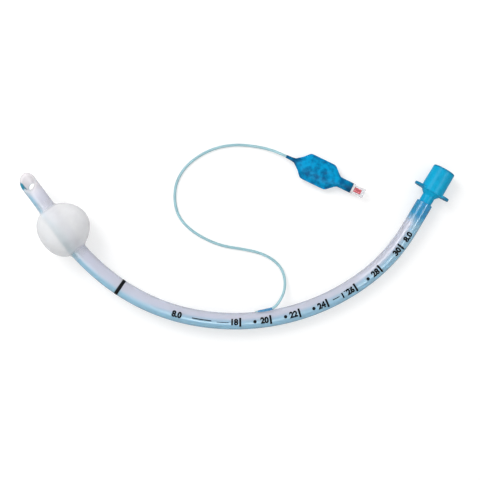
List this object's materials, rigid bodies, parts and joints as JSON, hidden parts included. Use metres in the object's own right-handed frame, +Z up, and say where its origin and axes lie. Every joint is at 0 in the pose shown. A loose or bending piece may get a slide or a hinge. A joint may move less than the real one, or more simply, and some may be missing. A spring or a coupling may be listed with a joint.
{
  "type": "endotracheal tube",
  "caption": "Cuffed, curved endotracheal tube with a 15 mm connector, inflation line, pilot balloon and a spring check valve, lying at rest.",
  "frame": {"origin": "middle of the box round the tube, cuff and connector, on the surface that they lie on", "axes": "+X along the chord of the tube, from the tip to the machine end; +Y across it, towards the inner side of the bend; +Z up"},
  "size_m": [0.2856, 0.1242, 0.034],
  "materials": {
    "clear_vinyl": "clear soft vinyl, glossy, with a blue stripe",
    "cuff_film": "milky thin film",
    "blue_connector": "satin moulded plastic",
    "pale_blue_vinyl": "translucent pale blue vinyl",
    "blue_vinyl": "soft blue film, lightly wrinkled",
    "clear_housing": "clear moulded plastic",
    "red_plunger": "moulded plastic",
    "seal_rubber": "matt",
    "spring_steel": "drawn wire",
    "white_retainer": "moulded"
  },
  "bodies": {
    "tube_set": {"airway_tube": "clear_vinyl", "cuff": "cuff_film", "connector": "blue_connector", "inflation_line": "pale_blue_vinyl", "pilot_balloon": "blue_vinyl", "valve_housing": "clear_housing", "valve_spring": "spring_steel", "valve_retainer": "white_retainer"},
    "plunger_set": {"valve_plunger": "red_plunger", "valve_seal": "seal_rubber"}
  },
  "joints": [
    {"name": "plunger_slide", "type": "slide", "parent": "tube_set", "child": "plunger_set", "axis": [-0.8996, 0.4368, 0], "range_m": [0, 0.003], "stiffness_N_per_m": 200, "deforming": ["valve_spring"]}
  ]
}
